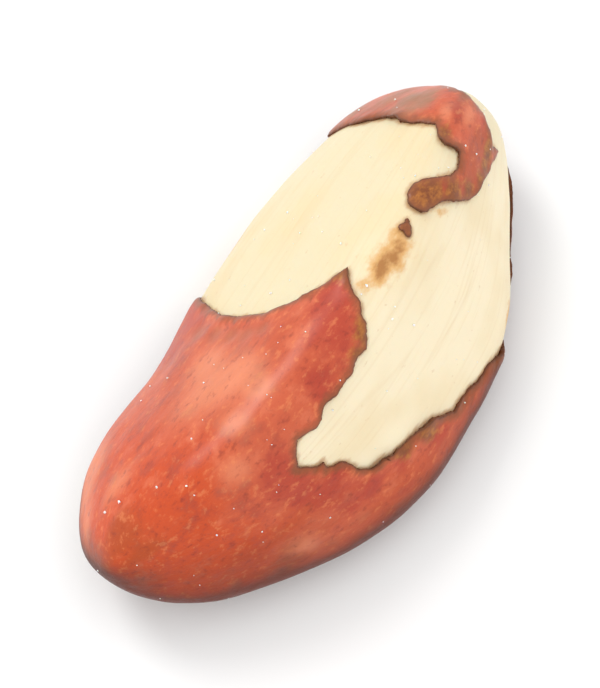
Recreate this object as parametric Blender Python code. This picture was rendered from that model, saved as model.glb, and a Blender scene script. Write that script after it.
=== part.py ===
"""A roasted brazil nut: one kernel, with its brown skin torn away in one wide window.

For Blender 4.5, in metres with +Z up. The nut lies on a small flat spot of its under face, its length along
X, from the broad end at -X to the narrow end at +X. Its section is a rounded triangle: the under face, and
two upper faces that meet along the crest. The skin stands proud of the bare kernel and ends at a torn edge.
The origin is under the middle of the nut, on the surface that it rests on.
"""

import math

import bmesh
import bpy
import numpy as np
from mathutils import Vector, noise

MM = 0.001
NAME = "brazil_nut"

# Driving sizes of the kernel
LENGTH = 37.6 * MM
BOW = 3.2 * MM  # how far the middle bends towards -Y from the line between the tips
BOW_SKEW = -0.19  # the bend is deeper on the broad end's half
SKIN = 0.25 * MM  # thickness of the skin
FLAT_DEPTH = 0.22 * MM  # how much of the under face's belly the resting spot takes off

# The three faces round the section: the outward normal's direction in degrees from +Y towards +Z, the
# distance from the axis, and how full the broad and the narrow end are, where 2 is an ellipse and more is
# blunter
FACES = (
    (-90.0, 5.9 * MM, 3.4, 3.4),  # under face, nearly flat
    (46.0, 6.7 * MM, 2.8, 3.2),  # upper face towards +Y
    (145.0, 6.3 * MM, 1.95, 2.7),  # upper face towards -Y, the wider one
)
GIRTH_Y, GIRTH_Z = 11.8 * MM, 12.2 * MM  # ellipse that swells the faces and rounds the corners off
GIRTH_FULLNESS = (1.95, 2.3)
CORNER = 3.2  # sharpness of the corners between the faces

# Gentle hollows and swellings all over the kernel
SWELL = 0.28 * MM
SWELL_LENGTH = 9.0 * MM

# Single lumps, and hollows where the height is negative, each at a place on the surface: millimetres along
# X, degrees round the section, height, and reach
LUMPS = (
    (18.1, 158, 0.6 * MM, 3.0 * MM),  # the narrow tip, drawn out towards -Y
    (17.5, 20, -0.2 * MM, 2.5 * MM),
    (14.0, 201, -0.45 * MM, 3.5 * MM),
    (-1.6, 202, 0.2 * MM, 4.0 * MM),
    (-6.5, -13, -0.5 * MM, 4.0 * MM),
    (-13.5, 208, -0.55 * MM, 4.5 * MM),
    (-16.7, -13, -0.4 * MM, 3.0 * MM),
)

# The torn window and a scuff, as places on the surface: millimetres along X, and degrees round the section,
# from -90 at the middle of the under face, over 90 near the crest, to 270 at the under face again
TORN_WINDOW = (
    # over the upper face towards +Y, up to the tip of the tongue of skin on the crest
    (-0.8, -10), (-1.4, 4), (-1.9, 17), (-1.8, 30), (-1.4, 39), (-1.1, 50), (-0.6, 58), (0.1, 64),
    (0.9, 70), (1.8, 74), (2.6, 77), (3.5, 81),
    # down the tongue's other side
    (2.7, 86), (1.8, 95), (1.4, 98), (1.2, 103), (0.6, 107), (0.0, 110), (-0.7, 109), (-1.8, 111),
    (-2.6, 111), (-4.0, 110), (-4.6, 110), (-5.0, 114), (-5.6, 115), (-6.3, 113), (-6.8, 112),
    (-7.4, 116), (-7.9, 122),
    # along the jagged foot of the window
    (-7.7, 126), (-7.0, 133), (-6.5, 134), (-6.5, 139), (-5.7, 144), (-5.3, 152), (-5.1, 159),
    (-4.7, 164), (-4.1, 166), (-3.5, 166), (-2.5, 169), (-0.5, 173), (0.6, 177), (1.4, 182), (2.1, 186),
    (3.9, 188),
    # below the side towards -Y, and all the way round the bare narrow tip, past both ends of the degrees
    (5.8, 192), (7.4, 199), (8.6, 205), (10.5, 210), (12.2, 208), (14.0, 206), (16.0, 205), (17.5, 210),
    (18.3, 222), (18.6, 240), (18.6, 275), (19.5, 275), (19.5, -95), (18.6, -95), (18.6, 20),
    (18.4, 46), (18.1, 66), (17.9, 82), (17.9, 92), (17.8, 104), (17.6, 116), (17.1, 125), (16.8, 135),
    (16.4, 142), (16.7, 158),
    # back along the strip of skin that is left on the crest, and round its hooked end
    (16.2, 152), (15.4, 144), (14.8, 141), (14.0, 134), (12.8, 130), (12.1, 126), (11.5, 119),
    (11.1, 113), (10.7, 108), (10.0, 104), (9.4, 101), (9.0, 96), (9.1, 91), (9.5, 88), (10.2, 88),
    (11.1, 93), (11.7, 99), (12.4, 105), (13.1, 108), (13.7, 108), (14.2, 106), (14.2, 101), (14.0, 95),
    (14.1, 89), (14.5, 86), (14.8, 83), (14.6, 77),
    # across the narrow end, and below the side towards +Y
    (14.4, 70), (14.2, 60), (14.2, 40), (14.0, 26), (13.5, 15), (13.1, 2), (12.6, -10), (12.8, -17),
    (11.7, -23), (11.1, -31), (9.5, -32), (8.3, -38), (6.4, -36), (4.9, -40), (3.6, -34), (2.2, -34),
    (1.2, -27), (0.1, -25), (-0.1, -18),
)
SCUFF = ((-14.7, -34), (-12.6, -28), (-10.9, -36), (-11.2, -50), (-13.0, -58), (-14.9, -48))
UNROLL_RADIUS = 7.5  # millimetres, turns degrees round the section into millimetres along the surface

# The ragged line of the torn edge: wave length and reach of each wave
RAGGED = ((2.6 * MM, 0.12 * MM), (1.0 * MM, 0.12 * MM))

SPHERE_SUBDIVISIONS = 5  # 5120 triangles before the torn edge is cut in
KERNEL_COLOUR = (0.93, 0.80, 0.55, 1.0)
SKIN_COLOUR = (0.52, 0.13, 0.07, 1.0)


def end_profile(station, broad, narrow):
    """1 at the middle of the length and 0 at the tips. The station runs from -1 to 1."""
    fullness = np.where(station < 0, broad, narrow)
    return np.sqrt(np.maximum(1 - np.abs(station) ** fullness, 1e-12))


def section_radius(station, angle):
    """Distance of the kernel's surface from its axis, with the corners between the faces rounded."""
    total = 0
    for normal, distance, broad, narrow in FACES:
        facing = np.maximum(np.cos(angle - math.radians(normal)), 0)
        total = total + (facing / (distance * end_profile(station, broad, narrow))) ** CORNER
    girth = np.hypot(np.cos(angle) / GIRTH_Y, np.sin(angle) / GIRTH_Z)
    girth = girth / end_profile(station, *GIRTH_FULLNESS)
    return (total + girth**CORNER) ** (-1 / CORNER)


def kernel_points(station, angle):
    radius = section_radius(station, angle)
    along = station * LENGTH / 2
    bend = BOW * (1 - station**2) * (1 + BOW_SKEW * station)
    across = radius * np.cos(angle) - bend
    return np.stack([along, across, radius * np.sin(angle)], axis=1)


def unrolled(places):
    """Places in millimetres along X and degrees, laid out flat in metres."""
    return np.array([(x, math.radians(degrees) * UNROLL_RADIUS) for x, degrees in places]) * MM


def depth_inside(outline, places):
    """How far inside a closed outline each place lies, negative outside it."""
    start = unrolled(outline)
    edge = np.roll(start, -1, axis=0) - start
    away = places[:, None] - start
    share = np.clip((away * edge).sum(axis=2) / (edge**2).sum(axis=1), 0, 1)
    nearest = np.linalg.norm(away - share[..., None] * edge, axis=2).min(axis=1)
    past_start = away[..., 1] >= 0
    past_end = away[..., 1] >= edge[:, 1]
    turn = edge[:, 0] * away[..., 1] - edge[:, 1] * away[..., 0]
    crossings = (past_start & ~past_end & (turn > 0)) ^ (~past_start & past_end & (turn < 0))
    return np.where(crossings.sum(axis=1) % 2 == 1, nearest, -nearest)


def skin_cover(station, angle, points):
    """Distance to the torn edge, positive where the skin is left and negative where the kernel is bare."""
    round_from_under = np.mod(angle + math.pi / 2, 2 * math.pi) - math.pi / 2
    places = np.stack([station * LENGTH / 2, round_from_under * UNROLL_RADIUS * MM], axis=1)
    cover = -np.maximum(depth_inside(TORN_WINDOW, places), depth_inside(SCUFF, places))
    for wave, reach in RAGGED:
        cover += [reach * noise.noise(Vector(point) / wave) for point in points]
    return cover


def lump_heights(points):
    """How far the single lumps and hollows move each point of the surface outwards."""
    heights = np.zeros(len(points))
    for x, degrees, height, reach in LUMPS:
        centre = kernel_points(np.array([x * MM / (LENGTH / 2)]), np.radians([degrees]))
        heights += height * np.exp(-((np.linalg.norm(points - centre, axis=1) / reach) ** 2))
    return heights


def shape_kernel(mesh):
    """Moves a unit sphere's vertices to the kernel's surface, and returns the skin's cover at each."""
    directions = np.array([vertex.co for vertex in mesh.verts])
    station = np.clip(directions[:, 0], -1, 1)
    angle = np.arctan2(directions[:, 2], directions[:, 1])
    points = kernel_points(station, angle)
    for vertex, point in zip(mesh.verts, points):
        vertex.co = point
    mesh.normal_update()
    for vertex, lump in zip(mesh.verts, lump_heights(points)):
        vertex.co += vertex.normal * (lump + SWELL * noise.noise(vertex.co / SWELL_LENGTH))
    return skin_cover(station, angle, points)


def cut_torn_edge(mesh, cover):
    """Cuts the line of no cover into the mesh, and returns the faces that keep their skin."""
    layer = mesh.verts.layers.float.new("cover")
    for vertex, value in zip(mesh.verts, cover):
        vertex[layer] = value
    torn = []
    for edge in [edge for edge in mesh.edges if edge.verts[0][layer] * edge.verts[1][layer] < 0]:
        first, second = edge.verts
        share = first[layer] / (first[layer] - second[layer])
        _, vertex = bmesh.utils.edge_split(edge, first, min(max(share, 0.15), 0.85))
        vertex[layer] = 0
        torn.append(vertex)
    bmesh.ops.connect_verts(mesh, verts=torn)
    bmesh.ops.triangulate(mesh, faces=[face for face in mesh.faces if len(face.verts) > 3])
    return [face for face in mesh.faces if max(vertex[layer] for vertex in face.verts) > 0]


def raise_skin(mesh, faces):
    """Lifts the faces by the skin's thickness, with a wall down to the kernel along the torn edge."""
    mesh.normal_update()
    for face in faces:
        face.material_index = 1
    lifted = bmesh.ops.extrude_face_region(mesh, geom=faces)["geom"]
    bmesh.ops.delete(mesh, geom=faces, context="FACES")
    for vertex in [item for item in lifted if isinstance(item, bmesh.types.BMVert)]:
        vertex.co += vertex.normal * SKIN


def stand(mesh):
    """Presses the lowest part of the belly flat, and puts the origin under the middle of the nut."""
    floor = min(vertex.co.z for vertex in mesh.verts) + FLAT_DEPTH
    for vertex in mesh.verts:
        vertex.co.z = max(vertex.co.z, floor)
    corners = np.array([vertex.co for vertex in mesh.verts])
    middle = (corners.min(axis=0) + corners.max(axis=0)) / 2
    bmesh.ops.translate(mesh, verts=mesh.verts, vec=(-middle[0], -middle[1], -floor))


def matte_material(name, colour, roughness):
    material = bpy.data.materials.new(name)
    material.use_nodes = True
    shader = material.node_tree.nodes["Principled BSDF"]
    shader.inputs["Base Color"].default_value = colour
    shader.inputs["Roughness"].default_value = roughness
    shader.inputs["Metallic"].default_value = 0.0
    return material


def build_nut():
    mesh = bmesh.new()
    bmesh.ops.create_icosphere(mesh, subdivisions=SPHERE_SUBDIVISIONS, radius=1.0)
    cover = shape_kernel(mesh)
    raise_skin(mesh, cut_torn_edge(mesh, cover))
    stand(mesh)
    data = bpy.data.meshes.new(NAME)
    mesh.to_mesh(data)
    mesh.free()
    data.materials.append(matte_material("kernel", KERNEL_COLOUR, 0.5))
    data.materials.append(matte_material("skin", SKIN_COLOUR, 0.4))
    data.shade_smooth()
    data.set_sharp_from_angle(angle=math.radians(40))
    return bpy.data.objects.new(NAME, data)


def main():
    for leftover in list(bpy.data.objects):
        bpy.data.objects.remove(leftover)
    collection = bpy.data.collections.new("roasted_brazil_nut")
    bpy.context.scene.collection.children.link(collection)
    collection.objects.link(build_nut())


main()
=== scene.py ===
"""The looks of a roasted salted brazil nut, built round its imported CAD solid.

The CAD solid holds the kernel and its skin in one. Here they are two pieces of the same form with finer
points: the bare ivory kernel, and the thin red-brown skin that is torn away over one wide window. Fine
grains of salt cling to both. Everything is in metres, with +Z up, in the frame of the CAD solid.
"""

import math

import bmesh
import bpy
import numpy as np
from mathutils import Euler, Matrix, Vector, noise


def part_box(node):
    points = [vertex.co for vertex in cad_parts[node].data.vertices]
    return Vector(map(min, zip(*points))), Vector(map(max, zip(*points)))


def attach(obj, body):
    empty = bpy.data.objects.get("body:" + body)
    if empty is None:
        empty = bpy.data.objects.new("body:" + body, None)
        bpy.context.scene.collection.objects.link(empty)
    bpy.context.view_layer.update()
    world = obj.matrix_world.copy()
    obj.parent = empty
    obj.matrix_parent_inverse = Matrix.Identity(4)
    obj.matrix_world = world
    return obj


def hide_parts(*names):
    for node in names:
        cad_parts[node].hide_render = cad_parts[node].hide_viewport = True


MM = 0.001
NODE = "brazil_nut"
BODY = "root"

# The kernel's form, as in the CAD solid
LENGTH = 37.6 * MM
BOW = 3.2 * MM  # how far the middle bends towards -Y from the line between the tips
BOW_SKEW = -0.19  # the bend is deeper on the broad end's half
SKIN = 0.25 * MM  # thickness of the skin
FLAT_DEPTH = 0.22 * MM  # how much of the under face's belly the resting spot takes off
FACES = (
    (-90.0, 5.9 * MM, 3.4, 3.4),
    (46.0, 6.7 * MM, 2.8, 3.2),
    (145.0, 6.3 * MM, 1.95, 2.7),
)
GIRTH_Y, GIRTH_Z = 11.8 * MM, 12.2 * MM
GIRTH_FULLNESS = (1.95, 2.3)
CORNER = 3.2
SWELL = 0.28 * MM
SWELL_LENGTH = 9.0 * MM
LUMPS = (
    (18.1, 158, 0.6 * MM, 3.0 * MM),
    (17.5, 20, -0.2 * MM, 2.5 * MM),
    (14.0, 201, -0.45 * MM, 3.5 * MM),
    (-1.6, 202, 0.2 * MM, 4.0 * MM),
    (-6.5, -13, -0.5 * MM, 4.0 * MM),
    (-13.5, 208, -0.55 * MM, 4.5 * MM),
    (-16.7, -13, -0.4 * MM, 3.0 * MM),
)

# The torn window and a scuff, as places on the surface: millimetres along X, and degrees round the section,
# from -90 at the middle of the under face, over 90 near the crest, to 270 at the under face again
TORN_WINDOW = (
    # over the upper face towards +Y, up to the tip of the tongue of skin on the crest
    (-0.8, -10), (-1.4, 4), (-1.9, 17), (-1.8, 30), (-1.4, 39), (-1.1, 50), (-0.6, 58), (0.1, 64),
    (0.9, 70), (1.8, 74), (2.6, 77), (3.5, 81),
    # down the tongue's other side
    (2.7, 86), (1.8, 95), (1.4, 98), (1.2, 103), (0.6, 107), (0.0, 110), (-0.7, 109), (-1.8, 111),
    (-2.6, 111), (-4.0, 110), (-4.6, 110), (-5.0, 114), (-5.6, 115), (-6.3, 113), (-6.8, 112),
    (-7.4, 116), (-7.9, 122),
    # along the jagged foot of the window
    (-7.7, 126), (-7.0, 133), (-6.5, 134), (-6.5, 139), (-5.7, 144), (-5.3, 152), (-5.1, 159),
    (-4.7, 164), (-4.1, 166), (-3.5, 166), (-2.5, 169), (-0.5, 173), (0.6, 177), (1.4, 182), (2.1, 186),
    (3.9, 188),
    # below the side towards -Y, and all the way round the bare narrow tip, past both ends of the degrees
    (5.8, 192), (7.4, 199), (8.6, 205), (10.5, 210), (12.2, 208), (14.0, 206), (16.0, 205), (17.5, 210),
    (18.3, 222), (18.6, 240), (18.6, 275), (19.5, 275), (19.5, -95), (18.6, -95), (18.6, 20),
    (18.4, 46), (18.1, 66), (17.9, 82), (17.9, 92), (17.8, 104), (17.6, 116), (17.1, 125), (16.8, 135),
    (16.4, 142), (16.7, 158),
    # back along the strip of skin that is left on the crest, and round its hooked end
    (16.2, 152), (15.4, 144), (14.8, 141), (14.0, 134), (12.8, 130), (12.1, 126), (11.5, 119),
    (11.1, 113), (10.7, 108), (10.0, 104), (9.4, 101), (9.0, 96), (9.1, 91), (9.5, 88), (10.2, 88),
    (11.1, 93), (11.7, 99), (12.4, 105), (13.1, 108), (13.7, 108), (14.2, 106), (14.2, 101), (14.0, 95),
    (14.1, 89), (14.5, 86), (14.8, 83), (14.6, 77),
    # across the narrow end, and below the side towards +Y
    (14.4, 70), (14.2, 60), (14.2, 40), (14.0, 26), (13.5, 15), (13.1, 2), (12.6, -10), (12.8, -17),
    (11.7, -23), (11.1, -31), (9.5, -32), (8.3, -38), (6.4, -36), (4.9, -40), (3.6, -34), (2.2, -34),
    (1.2, -27), (0.1, -25), (-0.1, -18),
)
SCUFF = ((-14.7, -34), (-12.6, -28), (-10.9, -36), (-11.2, -50), (-13.0, -58), (-14.9, -48))
UNROLL_RADIUS = 7.5  # millimetres, turns degrees round the section into millimetres along the surface

# Small flakes of skin left on the bare kernel: millimetres along X, degrees, radius in millimetres
FLAKES = ((7.7, 96, 0.24), (7.45, 98, 0.17), (8.0, 95, 0.15), (7.5, 94, 0.13), (6.2, -24, 0.4))
# In the same terms, tan film that the skin left on the kernel, and parts of the skin that are roasted brown
FILM = (
    (7.2, 96, 0.45), (6.4, 97, 0.75), (5.5, 97, 0.9), (4.6, 95, 0.85), (3.2, 92, 0.35),
    (10.2, 110, 0.2), (3.5, -24, 1.4), (10.0, 206, 1.0),
)
TOASTED = (
    (9.4, 95, 1.5), (10.6, 100, 1.0), (11.6, 110, 0.9), (12.6, 121, 0.7), (13.9, 130, 0.6),
    (14.9, 133, 0.7), (15.9, 134, 0.9), (14.4, 91, 0.6), (7.7, 96, 1.4),
    (0.8, 105, 0.9), (-0.6, 108, 0.6), (-2.2, 172, 0.8), (-0.3, 177, 0.9), (3.1, 80, 0.7),
)
# Soft spots in the same terms: dull worn skin on the narrow cap, painted highlights and rim reflections,
# deeper red, amber on the strip of skin by the narrow end and on the broad end, and painted shade in a crease
# along the window's edge
WORN = ((16.2, 16, 1.9), (15.6, 46, 2.0), (16.0, 63, 1.5), (14.6, -12, 1.8), (17.9, 92, 0.8))
# pale paint for painted highlights and painted reflections along the rim
PAINTED_HIGHLIGHTS = (
    (-5.2, 34, 1.5), (-7.4, 52, 2.6), (-5.4, 66, 1.8), (-5.8, 82, 0.9), (-8.4, 84, 1.0), (-14.6, 40, 1.6),
    (-13.2, -6, 1.7), (-15.4, -4, 1.8), (-17.2, 12, 1.2), (15.8, 86, 0.8), (16.6, 102, 0.9),
    (-10.6, 100, 1.1), (-10.6, 180, 1.3),
)
DEEP = (
    (1.4, 84, 1.6), (-0.6, 92, 1.6), (-3.6, 102, 1.3), (-8.8, 114, 1.2), (-9.4, 126, 1.4), (-8.4, 142, 1.4),
    (-7.2, 158, 1.4), (-5.2, 172, 1.0), (-7.0, 174, 0.9), (-5.9, 147, 0.8), (-2.8, 176, 0.9), (0.2, 184, 0.9),
    (16.2, 93, 0.6), (17.0, 117, 0.6), (-2.0, -8, 1.8), (-4.6, -10, 1.6),
)
AMBER = (
    (15.4, 118, 1.3), (14.6, 127, 1.3), (15.6, 132, 1.2), (13.8, 116, 1.0), (13.0, 122, 1.2),
    (-16.6, 66, 1.3), (-17.2, 82, 1.4), (-17.0, 104, 1.3),
)
# a crease along the window's edge, with painted shade in it
CREASE = ((-3.4, 10, 0.7), (-3.4, 24, 0.7), (-3.2, 37, 0.7), (-2.9, 48, 0.7), (-2.2, 58, 0.6))

# The ragged line of the torn edge: wave length and reach of each wave
RAGGED = (
    (2.6 * MM, 0.12 * MM),
    (1.0 * MM, 0.12 * MM),
    (0.5 * MM, 0.08 * MM),
    (0.24 * MM, 0.05 * MM),
    (0.12 * MM, 0.03 * MM),
)

# Relief: wave length along the nut, wave length across it, and height
DENTS = ((5.0 * MM, 4.0 * MM, 0.10 * MM), (2.2 * MM, 1.7 * MM, 0.04 * MM))
SKIN_FOLDS = ((9.0 * MM, 1.7 * MM, 0.04 * MM), (2.4 * MM, 0.7 * MM, 0.022 * MM))
KERNEL_FLUTES = ((8.0 * MM, 1.2 * MM, 0.03 * MM), (1.2 * MM, 0.7 * MM, 0.012 * MM))
LINES_RADIUS = 6.0 * MM  # of the even tube that the lines along the nut are laid out on
LINES_FADE = 8  # the higher, the nearer to the tips these lines reach

CURL = 0.26 * MM  # how far the torn edge lifts off the kernel at most
CURL_REACH = 0.45 * MM
CURL_WAVE = 2.2 * MM
CURL_MIDDLE, CURL_SWING = 0.1, 1.3  # share of the curl along the edge, and how much it varies
PUCKER = 0.15 * MM  # height of the puckers in the loose skin along the torn edge
PUCKER_REACH = 1.1 * MM
PUCKER_WAVE = 1.3 * MM
PUCKER_MIDDLE = 0.2  # share of the puckers along the edge
FLAKE_MARGIN = 0.2 * MM  # round each flake, the skin lies flat
CREASE_DEPTH = 0.09 * MM
FAR_SIDE = 0.25  # how much of the under side's painted shade and lower gloss the side towards +Y is spared
TIP_SHADE_SIDE = (-0.89, 0.43, -0.17)  # where the painted shade and greyish painted reflection on the broad tip's lower side face
EDGE_THIN = 0.6  # share of the skin's thickness that is lost at the torn edge
EDGE_REACH = 0.2 * MM
SKIN_DEPTH = 0.33 * MM  # the shell's thickness, which sinks its inner side into the kernel

SPHERE_SUBDIVISIONS = 7  # 81,920 triangles
FINE_BAND = 0.6 * MM  # the skin's mesh is finer this close to the torn edge
CUT_MARGIN = 0.1  # the torn line cuts an edge no nearer to its ends than this share of it

# Salt
GRAINS = 60  # on the skin; twice as many are drawn on the kernel, less those that the skin covers
GRAIN_SIZES = (0.05 * MM, 0.13 * MM)
GRAIN_FINENESS = 2.5  # the higher, the fewer of the grains are large
GRAIN_STRETCH = (0.7, 1.15)
GRAIN_CHIPS = 0.12  # how far a grain's corners are moved, as a share of its size
GRAIN_RISE = 0.3  # how far a grain's middle stands out of the surface, as a share of its size
GRAIN_SEED = 11
LOWEST_FACING = -0.25  # upward part of the normal, below which no grain lies
BARE_MARGIN = 0.3  # millimetres from the torn edge to the nearest grain on the kernel

# The camera looks down on the nut from the photograph's side
AZIMUTH, ELEVATION = -54.7, 70.0
DISTANCE = 0.42
AIM_RIGHT, AIM_UP = -1.58 * MM, 0.51 * MM  # the picture's middle, from the middle of the nut
VIEW_HEIGHT = 41.8 * MM
SENSOR = 36.0
NEAREST = 0.01  # nothing nearer to the camera is shown

# Light from all round, a soft sun, and the floor
DAYLIGHT = 1.15
SUN_SIDE = (0.1, 0.66, 0.76)
SUN_STRENGTH = 0.9
SUN_SPREAD = 22  # degrees
FLOOR_SIZE = 1.6

# Sockets of a colour Mix node, which share their names with other sockets
MIX_SHARE, MIX_UNDER, MIX_OVER, MIX_RESULT = 0, 6, 7, 2


def end_profile(station, broad, narrow):
    """1 at the middle of the length and 0 at the tips. The station runs from -1 to 1."""
    fullness = np.where(station < 0, broad, narrow)
    return np.sqrt(np.maximum(1 - np.abs(station) ** fullness, 1e-12))


def section_radius(station, angle):
    """Distance of the kernel's surface from its axis, with the corners between the faces rounded."""
    total = 0
    for normal, distance, broad, narrow in FACES:
        facing = np.maximum(np.cos(angle - math.radians(normal)), 0)
        total = total + (facing / (distance * end_profile(station, broad, narrow))) ** CORNER
    girth = np.hypot(np.cos(angle) / GIRTH_Y, np.sin(angle) / GIRTH_Z)
    girth = girth / end_profile(station, *GIRTH_FULLNESS)
    return (total + girth**CORNER) ** (-1 / CORNER)


def kernel_points(station, angle):
    radius = section_radius(station, angle)
    along = station * LENGTH / 2
    bend = BOW * (1 - station**2) * (1 + BOW_SKEW * station)
    across = radius * np.cos(angle) - bend
    return np.stack([along, across, radius * np.sin(angle)], axis=1)


def lump_heights(points):
    """How far the single lumps and hollows move each point of the surface outwards."""
    heights = np.zeros(len(points))
    for x, degrees, height, reach in LUMPS:
        centre = kernel_points(np.array([x * MM / (LENGTH / 2)]), np.radians([degrees]))
        heights += height * np.exp(-((np.linalg.norm(points - centre, axis=1) / reach) ** 2))
    return heights


def unrolled(places):
    """Places in millimetres along X and degrees, laid out flat in metres."""
    return np.array([(x, math.radians(degrees) * UNROLL_RADIUS) for x, degrees in places]) * MM


def depth_inside(outline, places):
    """How far inside a closed outline each place lies, negative outside it."""
    start = unrolled(outline)
    edge = np.roll(start, -1, axis=0) - start
    away = places[:, None] - start
    share = np.clip((away * edge).sum(axis=2) / (edge**2).sum(axis=1), 0, 1)
    nearest = np.linalg.norm(away - share[..., None] * edge, axis=2).min(axis=1)
    past_start = away[..., 1] >= 0
    past_end = away[..., 1] >= edge[:, 1]
    turn = edge[:, 0] * away[..., 1] - edge[:, 1] * away[..., 0]
    crossings = (past_start & ~past_end & (turn > 0)) ^ (~past_start & past_end & (turn < 0))
    return np.where(crossings.sum(axis=1) % 2 == 1, nearest, -nearest)


def distances(spots, places):
    """The distance of each place from the middle of each spot, and the spots' radii."""
    centres = unrolled([spot[:2] for spot in spots])
    radii = np.array([spot[2] for spot in spots]) * MM
    return np.linalg.norm(places[:, None] - centres, axis=2), radii


def depth_in_spots(spots, places):
    """How far inside the nearest of some round spots each place lies, negative outside them."""
    away, radii = distances(spots, places)
    return (radii - away).max(axis=1)


def strength_of_spots(spots, places):
    """1 in the middle of a soft spot, falling off round it. Spots that meet add up."""
    away, radii = distances(spots, places)
    return np.exp(-((away / radii) ** 2)).sum(axis=1)


def waves(points, lengths):
    """Smooth noise at each point, between about -1 and 1, with its wave lengths along the three axes."""
    return np.array([noise.noise(point) for point in (points / lengths).tolist()])


def relief(points, layers):
    return sum(height * waves(points, (along, across, across)) for along, across, height in layers)


class Surface:
    """What the kernel's formula gives at each vertex of a mesh of points on the unit sphere."""

    def __init__(self, mesh):
        directions = np.array([vertex.co for vertex in mesh.verts])
        directions /= np.linalg.norm(directions, axis=1)[:, None]
        self.station = np.clip(directions[:, 0], -1, 1)
        self.angle = np.arctan2(directions[:, 2], directions[:, 1])
        round_from_under = np.mod(self.angle + math.pi / 2, 2 * math.pi) - math.pi / 2
        self.places = np.stack([self.station * LENGTH / 2, round_from_under * UNROLL_RADIUS * MM], axis=1)
        self.formed = kernel_points(self.station, self.angle)

    def cover(self):
        """Distance to the torn edge, positive where the skin is left and negative where it is gone."""
        bare = np.maximum(depth_inside(TORN_WINDOW, self.places), depth_inside(SCUFF, self.places))
        cover = np.maximum(-bare, depth_in_spots(FLAKES, self.places))
        return cover + sum(reach * waves(self.formed, wave) for wave, reach in RAGGED)

    def grain(self):
        """Places on an even tube, where lines along the nut run straight and meet at its tips."""
        across = np.cos(self.angle) * LINES_RADIUS
        upwards = np.sin(self.angle) * LINES_RADIUS
        return np.stack([self.station * LENGTH / 2, across, upwards], axis=1)

    def put(self, mesh, height):
        """Moves the vertices to the swollen kernel's surface, and then outwards by the given height.

        Gives back the way that the swollen kernel faces at each vertex.
        """
        set_points(mesh, self.formed)
        swell = lump_heights(self.formed) + SWELL * waves(self.formed, SWELL_LENGTH)
        points = self.formed + normals(mesh) * swell[:, None]
        set_points(mesh, points)
        facing = normals(mesh)
        set_points(mesh, points + facing * height[:, None])
        return facing


def normals(mesh):
    mesh.normal_update()
    return np.array([vertex.normal for vertex in mesh.verts])


def set_points(mesh, points):
    for vertex, point in zip(mesh.verts, points):
        vertex.co = point


def folded(surface, layers):
    """Dents, and lines of relief along the nut that fade towards its tips."""
    lines = relief(surface.grain(), layers) * (1 - surface.station**LINES_FADE)
    return relief(surface.formed, DENTS) + lines


def sphere():
    mesh = bmesh.new()
    bmesh.ops.create_icosphere(mesh, subdivisions=SPHERE_SUBDIVISIONS, radius=1.0)
    return mesh


def triangulate(mesh):
    bmesh.ops.triangulate(mesh, faces=[face for face in mesh.faces if len(face.verts) > 3])


def add_object(name, data):
    added = bpy.data.objects.new(name, data)
    bpy.context.scene.collection.objects.link(added)
    return added


def finished(mesh, name, fields, grain):
    """A smooth object made of the mesh, with its fields kept as attributes for the material."""
    data = bpy.data.meshes.new(name)
    mesh.to_mesh(data)
    mesh.free()
    for field, values in fields.items():
        attribute = data.attributes.new(field, "FLOAT", "POINT")
        attribute.data.foreach_set("value", np.asarray(values, np.float32))
    attribute = data.attributes.new("grain", "FLOAT_VECTOR", "POINT")
    attribute.data.foreach_set("vector", np.asarray(grain, np.float32).ravel())
    data.shade_smooth()
    return add_object(name, data)


def make_kernel():
    """The whole kernel, closed below the skin too."""
    mesh = sphere()
    surface = Surface(mesh)
    surface.put(mesh, folded(surface, KERNEL_FLUTES))
    fields = {"bare": -surface.cover() / MM, "film": depth_in_spots(FILM, surface.places) / MM}
    return finished(mesh, "kernel", fields, surface.grain())


def refine_torn_band(mesh):
    """Splits the edges near the torn line, and brings the new points onto the unit sphere."""
    near = np.abs(Surface(mesh).cover()) < FINE_BAND
    mesh.verts.index_update()
    edges = [edge for edge in mesh.edges if near[edge.verts[0].index] and near[edge.verts[1].index]]
    bmesh.ops.subdivide_edges(mesh, edges=edges, cuts=1, use_grid_fill=False)
    triangulate(mesh)
    for vertex in mesh.verts:
        vertex.co.normalize()


def cut_torn_edge(mesh):
    """Cuts the line of no cover into the mesh on the sphere, and removes what lies beyond it."""
    layer = mesh.verts.layers.float.new("cover")
    for vertex, value in zip(mesh.verts, Surface(mesh).cover()):
        vertex[layer] = value
    torn = []
    for edge in [edge for edge in mesh.edges if edge.verts[0][layer] * edge.verts[1][layer] < 0]:
        first, second = edge.verts
        share = first[layer] / (first[layer] - second[layer])
        share = min(max(share, CUT_MARGIN), 1 - CUT_MARGIN)
        _, vertex = bmesh.utils.edge_split(edge, first, share)
        vertex[layer] = 0
        torn.append(vertex)
    bmesh.ops.connect_verts(mesh, verts=torn)
    triangulate(mesh)
    bare = [face for face in mesh.faces if max(vertex[layer] for vertex in face.verts) <= 0]
    bmesh.ops.delete(mesh, geom=bare, context="FACES")
    mesh.verts.layers.float.remove(layer)


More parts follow.
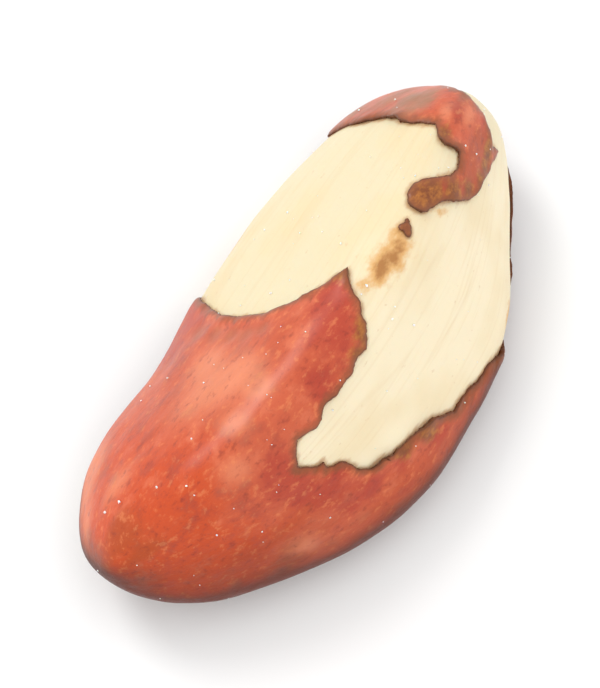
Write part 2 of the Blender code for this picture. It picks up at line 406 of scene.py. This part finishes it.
def make_skin():
    """The skin as a thin shell. Its ragged torn edge thins out, and curls off the kernel here and there."""
    mesh = sphere()
    refine_torn_band(mesh)
    cut_torn_edge(mesh)
    surface = Surface(mesh)
    cover = np.maximum(surface.cover(), 0)
    curl = np.clip(CURL_MIDDLE + CURL_SWING * waves(surface.formed, CURL_WAVE), 0, 1)
    pucker = np.clip(PUCKER_MIDDLE + waves(surface.formed, PUCKER_WAVE), 0, 1)
    # strengths of the soft spots, among them painted highlights and the crease's painted shade
    spots = {"worn": WORN, "painted_highlight": PAINTED_HIGHLIGHTS, "deep": DEEP, "amber": AMBER, "crease": CREASE}
    fields = {name: strength_of_spots(places, surface.places) for name, places in spots.items()}
    fields["toasted"] = depth_in_spots(TOASTED, surface.places) / MM
    height = SKIN * (1 - EDGE_THIN * np.exp(-cover / EDGE_REACH)) + folded(surface, SKIN_FOLDS)
    flat = depth_in_spots(FLAKES, surface.places) > -FLAKE_MARGIN
    loose = CURL * curl * np.exp(-cover / CURL_REACH) + PUCKER * pucker * np.exp(-cover / PUCKER_REACH)
    height += np.where(flat, 0, loose)
    height -= CREASE_DEPTH * np.clip(fields["crease"], 0, 1)
    facing = surface.put(mesh, height)
    # which way each vertex faces, for the painted shade below and on the broad tip's lower side
    fields["tip_shade"] = facing @ TIP_SHADE_SIDE
    fields["upward"] = facing[:, 2] + FAR_SIDE * np.maximum(facing[:, 1], 0)
    fields["inside"] = cover / MM
    piece = finished(mesh, "skin", fields, surface.grain())
    shell = piece.modifiers.new("thickness", "SOLIDIFY")
    shell.thickness = SKIN_DEPTH
    shell.offset = -1
    return piece


def read_points(piece):
    points = np.zeros(len(piece.data.vertices) * 3, np.float32)
    piece.data.vertices.foreach_get("co", points)
    return points.reshape(-1, 3)


def write_points(piece, points):
    piece.data.vertices.foreach_set("co", points.astype(np.float32).ravel())
    piece.data.update()


def stand(kernel, skin):
    """Presses the belly flat, and puts both pieces where the CAD solid is."""
    low, high = (np.array(corner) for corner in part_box(NODE))
    points = {piece: read_points(piece) for piece in (kernel, skin)}
    every = np.concatenate(list(points.values()))
    floor = every[:, 2].min() + FLAT_DEPTH
    shift = (low + high) / 2 - (every.min(axis=0) + every.max(axis=0)) / 2
    shift[2] = low[2] - floor
    for piece, found in points.items():
        found[:, 2] = np.maximum(found[:, 2], floor)
        write_points(piece, found + shift)


def sample_surface(piece, draw, count):
    """Random spots, even by area, on the faces that look up or sideways: middle, normal and face."""
    faces = [face for face in piece.data.polygons if face.normal.z > LOWEST_FACING]
    areas = np.array([face.area for face in faces])
    chosen = draw.choice(len(faces), size=count, p=areas / areas.sum())
    return [(faces[i].center.copy(), faces[i].normal.copy(), faces[i]) for i in chosen]


def make_salt(kernel, skin):
    """Broken cubes of salt, each sunk a little into the skin or the bare kernel."""
    draw = np.random.default_rng(GRAIN_SEED)
    bare = kernel.data.attributes["bare"].data
    on_skin = sample_surface(skin, draw, GRAINS)
    on_kernel = [
        spot for spot in sample_surface(kernel, draw, 2 * GRAINS)
        if bare[spot[2].vertices[0]].value > BARE_MARGIN
    ]
    smallest, largest = GRAIN_SIZES
    mesh = bmesh.new()
    for centre, normal, _ in on_skin + on_kernel:
        size = smallest + (largest - smallest) * draw.random() ** GRAIN_FINENESS
        turn = Euler(draw.uniform(0, 2 * math.pi, 3)).to_matrix().to_4x4()
        stretch = Matrix.Diagonal((*draw.uniform(*GRAIN_STRETCH, 3), 1))
        place = Matrix.Translation(centre + normal * GRAIN_RISE * size)
        grain = bmesh.ops.create_cube(mesh, size=size, matrix=place @ turn @ stretch)["verts"]
        for vertex in grain:
            vertex.co += Vector(draw.uniform(-GRAIN_CHIPS, GRAIN_CHIPS, 3)) * size
    data = bpy.data.meshes.new("salt_grains")
    mesh.to_mesh(data)
    mesh.free()
    return add_object("salt_grains", data)


def paint(red, green, blue):
    """A display colour from 0 to 255 as the linear colour that the shader takes."""
    return (*(((value / 255 + 0.055) / 1.055) ** 2.4 for value in (red, green, blue)), 1.0)


class Paint:
    """A Principled material, and short ways to add the nodes that drive it."""

    def __init__(self, name, **constants):
        self.material = bpy.data.materials.new(name)
        self.material.use_nodes = True
        self.tree = self.material.node_tree
        self.shader = self.tree.nodes["Principled BSDF"]
        for socket, value in constants.items():
            self.shader.inputs[socket.replace("_", " ")].default_value = value
        self.here = self.add("ShaderNodeTexCoord").outputs["Object"]
        self.tone = None

    def add(self, kind, inputs=None, **settings):
        node = self.tree.nodes.new(kind)
        for name, value in settings.items():
            setattr(node, name, value)
        for socket, value in (inputs or {}).items():
            if isinstance(value, bpy.types.NodeSocket):
                self.tree.links.new(value, node.inputs[socket])
            else:
                node.inputs[socket].default_value = value
        return node

    def noise(self, along, across, detail=3.0, roughness=0.55, at=None):
        """Noise with its wave lengths along the nut and across it, in metres."""
        scale = (1 / along, 1 / across, 1 / across)
        stretched = self.add("ShaderNodeMapping", {"Vector": at or self.here, "Scale": scale})
        place = stretched.outputs["Vector"]
        inputs = {"Vector": place, "Scale": 1.0, "Detail": detail, "Roughness": roughness}
        return self.add("ShaderNodeTexNoise", inputs).outputs["Fac"]

    def field(self, name):
        return self.add("ShaderNodeAttribute", attribute_name=name).outputs["Fac"]

    def lines(self):
        """Places on the even tube, for noise that runs along the nut."""
        return self.add("ShaderNodeAttribute", attribute_name="grain").outputs["Vector"]

    def axis(self, name):
        return self.add("ShaderNodeSeparateXYZ", {"Vector": self.here}).outputs[name]

    def span(self, value, low, high, to_low=0.0, to_high=1.0):
        """The value's place between low and high, eased at both."""
        inputs = {"Value": value, "From Min": low, "From Max": high, "To Min": to_low, "To Max": to_high}
        return self.add("ShaderNodeMapRange", inputs, interpolation_type="SMOOTHSTEP").outputs["Result"]

    def math(self, operation, *values):
        return self.add("ShaderNodeMath", dict(enumerate(values)), operation=operation).outputs[0]

    def ragged(self, value, noise_value, reach):
        """The value, moved up and down by noise."""
        centred = self.math("SUBTRACT", noise_value, 0.5)
        return self.math("ADD", value, self.math("MULTIPLY", centred, reach))

    def over(self, under, colour, factor, strength=1.0):
        """A colour laid over another, by the factor times the strength."""
        share = self.math("MULTIPLY", factor, strength)
        inputs = {MIX_SHARE: share, MIX_UNDER: under, MIX_OVER: colour}
        return self.add("ShaderNodeMix", inputs, data_type="RGBA").outputs[MIX_RESULT]

    def lay(self, colour, factor, strength=1.0):
        """Lays a paint over the tone so far."""
        self.tone = self.over(self.tone, colour, factor, strength)

    def drive(self, socket, value):
        self.tree.links.new(value, self.shader.inputs[socket])

    def bumps(self, *layers):
        """Small relief from height fields, each with its depth in metres."""
        normal = None
        for height, depth in layers:
            inputs = {"Height": height, "Distance": depth, "Strength": 1.0}
            if normal is not None:
                inputs["Normal"] = normal
            normal = self.add("ShaderNodeBump", inputs).outputs["Normal"]
        self.drive("Normal", normal)


def skin_material():
    """Red-brown, orange at the broad end, with painted highlights, painted shade below and on the broad tip,
    brown at the torn edge.
    """
    skin = Paint("skin", IOR=1.46, Specular_IOR_Level=0.15, Coat_Roughness=0.3)
    lines = skin.lines()
    clouds = skin.noise(6 * MM, 4 * MM, detail=2)
    blotches = skin.noise(2.2 * MM, 1.5 * MM, detail=4, roughness=0.62)
    mottle = skin.noise(0.8 * MM, 0.5 * MM, detail=5, roughness=0.65)
    streaks = skin.noise(14 * MM, 1.1 * MM, detail=4, roughness=0.6, at=lines)
    fibres = skin.noise(2.5 * MM, 0.2 * MM, detail=3, roughness=0.6, at=lines)
    inside = skin.field("inside")

    # the skin's own colours, with the orange broad end
    skin.tone = skin.over(paint(188, 78, 40), paint(194, 86, 52), skin.span(clouds, 0.35, 0.65))
    broad = skin.ragged(skin.axis("X"), clouds, 10 * MM)
    skin.lay(paint(195, 67, 11), skin.span(broad, -8 * MM, -14 * MM), 0.8)
    skin.lay(paint(148, 40, 26), skin.span(blotches, 0.5, 0.68), 0.5)
    skin.lay(paint(214, 114, 78), skin.span(blotches, 0.48, 0.32), 0.45)
    skin.lay(paint(146, 48, 28), skin.span(streaks, 0.52, 0.75), 0.2)
    skin.lay(paint(140, 50, 30), skin.span(fibres, 0.54, 0.75), 0.15)
    # painted highlights and rim reflections in pale paint, deep and amber parts, and a fine mottle over them
    painted_highlight = skin.ragged(skin.field("painted_highlight"), blotches, 1.2)
    skin.lay(paint(230, 148, 108), skin.span(painted_highlight, 0.0, 1.3), 0.5)
    deep = skin.ragged(skin.field("deep"), blotches, 1.4)
    skin.lay(paint(166, 46, 28), skin.span(deep, 0.1, 1.0), 0.65)
    amber = skin.ragged(skin.field("amber"), blotches, 0.8)
    skin.lay(paint(166, 66, 16), skin.span(amber, 0.1, 1.0), 0.75)
    skin.lay(paint(228, 134, 82), skin.span(mottle, 0.53, 0.7), 0.42)
    skin.lay(paint(124, 36, 20), skin.span(mottle, 0.46, 0.3), 0.45)
    # painted shade in the crease, the worn cap, and painted shade with a greyish painted reflection on the
    # broad tip's lower side
    crease_shade = skin.ragged(skin.field("crease"), mottle, 0.8)
    skin.lay(paint(158, 88, 62), skin.span(crease_shade, 0.1, 1.0), 0.55)
    worn = skin.ragged(skin.ragged(skin.field("worn"), blotches, 1.8), mottle, 1.2)
    skin.lay(paint(142, 100, 68), skin.span(worn, 0.1, 1.4), 0.85)
    # painted shade with a greyish painted reflection, where the broad tip's lower side faces
    tip_shade = skin.ragged(skin.field("tip_shade"), blotches, 0.2)
    skin.lay(paint(112, 82, 70), skin.span(tip_shade, 0.62, 0.98), 0.75)
    # painted shade on the under side, of which the narrow end has less
    narrow = skin.span(skin.axis("X"), 11 * MM, 15 * MM, 0.0, 0.3)
    upward = skin.ragged(skin.ragged(skin.field("upward"), blotches, 0.3), clouds, 0.2)
    upward = skin.math("ADD", upward, narrow)
    # dark paint for the under side's painted shade
    skin.lay(paint(76, 42, 36), skin.span(upward, 0.54, 0.12), 0.87)
    # roasted parts, and the browned torn edge, darkest right at the edge with painted shade
    toasted = skin.ragged(skin.field("toasted"), mottle, 1.6)
    roast = skin.over(paint(108, 60, 16), paint(164, 104, 36), skin.span(mottle, 0.4, 0.62))
    skin.lay(roast, skin.span(toasted, -0.3, 0.5), 0.85)
    brown = skin.ragged(inside, mottle, 1.0)
    skin.lay(paint(128, 70, 36), skin.span(brown, 0.75, 0.1), 0.8)
    # painted shade right at the torn edge, over its brown
    skin.lay(paint(84, 48, 26), skin.span(inside, 0.16, 0.02), 0.65)
    skin.drive("Base Color", skin.tone)
    skin.drive("Roughness", skin.span(mottle, 0.3, 0.7, 0.36, 0.54))
    skin.drive("Coat Weight", skin.span(upward, 0.25, 0.8, 0.08, 0.5))
    skin.bumps((blotches, 0.06 * MM), (mottle, 0.05 * MM), (fibres, 0.008 * MM))
    return skin.material


def kernel_material():
    """Ivory, darker towards +Y with painted shade, with tan film and stains where the skin came off."""
    kernel = Paint(
        "kernel",
        IOR=1.46,
        Subsurface_Weight=0.2,
        Subsurface_Radius=(1.0, 0.62, 0.35),
        Subsurface_Scale=0.9 * MM,
    )
    lines = kernel.lines()
    clouds = kernel.noise(7 * MM, 5 * MM, detail=2)
    grain = kernel.noise(6.0 * MM, 0.4 * MM, detail=4, roughness=0.6, at=lines)
    specks = kernel.noise(0.5 * MM, 0.4 * MM, detail=3)
    smudge = kernel.noise(1.6 * MM, 1.0 * MM, detail=5, roughness=0.6)
    folds = kernel.noise(24 * MM, 1.5 * MM, detail=1, at=lines)
    veins = kernel.math("ABSOLUTE", kernel.math("SUBTRACT", folds, 0.5))
    bare = kernel.field("bare")

    # painted shade towards +Y, which evens out the sun's extra light on that side
    across = kernel.span(kernel.axis("Y"), -4 * MM, 3 * MM)
    kernel.tone = kernel.over(paint(237, 223, 191), paint(216, 203, 168), across)
    kernel.lay(paint(222, 198, 150), kernel.span(clouds, 0.45, 0.7), 0.4)
    kernel.lay(paint(214, 184, 134), kernel.span(grain, 0.52, 0.76), 0.25)
    kernel.lay(paint(206, 172, 120), kernel.span(veins, 0.03, 0.0), 0.12)
    kernel.lay(paint(198, 156, 104), kernel.span(specks, 0.66, 0.76), 0.3)
    film = kernel.ragged(kernel.ragged(kernel.field("film"), smudge, 2.2), specks, 0.6)
    kernel.lay(paint(212, 160, 92), kernel.span(film, -0.5, 0.3), 0.9)
    kernel.lay(paint(156, 98, 40), kernel.span(film, 0.1, 0.8), 0.8)
    torn = kernel.ragged(kernel.ragged(bare, smudge, 0.8), grain, 0.4)
    kernel.lay(paint(188, 138, 88), kernel.span(torn, 0.3, -0.05), 0.7)
    kernel.drive("Base Color", kernel.tone)
    kernel.drive("Roughness", kernel.span(smudge, 0.3, 0.7, 0.42, 0.58))
    kernel.bumps((grain, 0.03 * MM), (smudge, 0.04 * MM), (specks, 0.012 * MM))
    return kernel.material


def salt_material():
    salt = Paint("salt", IOR=1.54, Roughness=0.28, Subsurface_Weight=0.3, Subsurface_Scale=0.2 * MM)
    cloud = salt.noise(0.3 * MM, 0.3 * MM, detail=2)
    salt.drive("Base Color", salt.over(paint(246, 246, 244), paint(228, 230, 230), cloud))
    return salt.material


def floor_material():
    floor = Paint("floor", Roughness=0.8)
    cloud = floor.noise(80 * MM, 80 * MM, detail=2)
    floor.drive("Base Color", floor.over(paint(241, 241, 241), paint(243, 243, 242), cloud))
    return floor.material


def dress(piece, material):
    piece.data.materials.clear()
    piece.data.materials.append(material)
    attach(piece, BODY)


def make_nut():
    kernel = make_kernel()
    skin = make_skin()
    stand(kernel, skin)
    salt = make_salt(kernel, skin)
    dress(kernel, kernel_material())
    dress(skin, skin_material())
    dress(salt, salt_material())
    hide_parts(NODE)


def make_floor():
    bpy.ops.mesh.primitive_plane_add(size=FLOOR_SIZE)
    floor = bpy.context.object
    floor.name = "floor"
    floor.data.materials.append(floor_material())


def view_axes():
    """The picture's right and up, and the direction from the nut to the camera."""
    azimuth, elevation = math.radians(AZIMUTH), math.radians(ELEVATION)
    right = Vector((math.cos(azimuth), math.sin(azimuth), 0))
    level = Vector((math.sin(azimuth), -math.cos(azimuth), 0))
    back = level * math.cos(elevation) + Vector((0, 0, math.sin(elevation)))
    return right, back.cross(right), back


def make_camera():
    right, up, back = view_axes()
    low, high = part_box(NODE)
    aim = (low + high) / 2 + right * AIM_RIGHT + up * AIM_UP
    data = bpy.data.cameras.new("camera")
    data.sensor_width = SENSOR
    data.lens = SENSOR * DISTANCE / VIEW_HEIGHT
    data.clip_start = NEAREST
    camera = add_object("camera", data)
    turn = Matrix((right, up, back)).transposed().to_4x4()
    camera.matrix_world = Matrix.Translation(aim + back * DISTANCE) @ turn
    bpy.context.scene.camera = camera


def add_sun():
    data = bpy.data.lights.new("key", "SUN")
    data.energy = SUN_STRENGTH
    data.angle = math.radians(SUN_SPREAD)
    light = add_object("key", data)
    light.rotation_euler = Vector(SUN_SIDE).to_track_quat("Z", "Y").to_euler()


def light_scene():
    scene = bpy.context.scene
    scene.view_settings.view_transform = "Standard"
    scene.world = bpy.data.worlds.new("studio")
    scene.world.use_nodes = True
    background = scene.world.node_tree.nodes["Background"]
    background.inputs["Color"].default_value = (1, 1, 1, 1)
    background.inputs["Strength"].default_value = DAYLIGHT
    add_sun()


def main():
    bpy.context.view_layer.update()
    make_nut()
    make_floor()
    make_camera()
    light_scene()


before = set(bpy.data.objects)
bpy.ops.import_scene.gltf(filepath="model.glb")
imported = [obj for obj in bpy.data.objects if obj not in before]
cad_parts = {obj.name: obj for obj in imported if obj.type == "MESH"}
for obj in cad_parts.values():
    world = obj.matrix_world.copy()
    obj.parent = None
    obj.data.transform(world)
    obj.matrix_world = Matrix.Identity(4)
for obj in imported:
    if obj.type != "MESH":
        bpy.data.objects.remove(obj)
main()
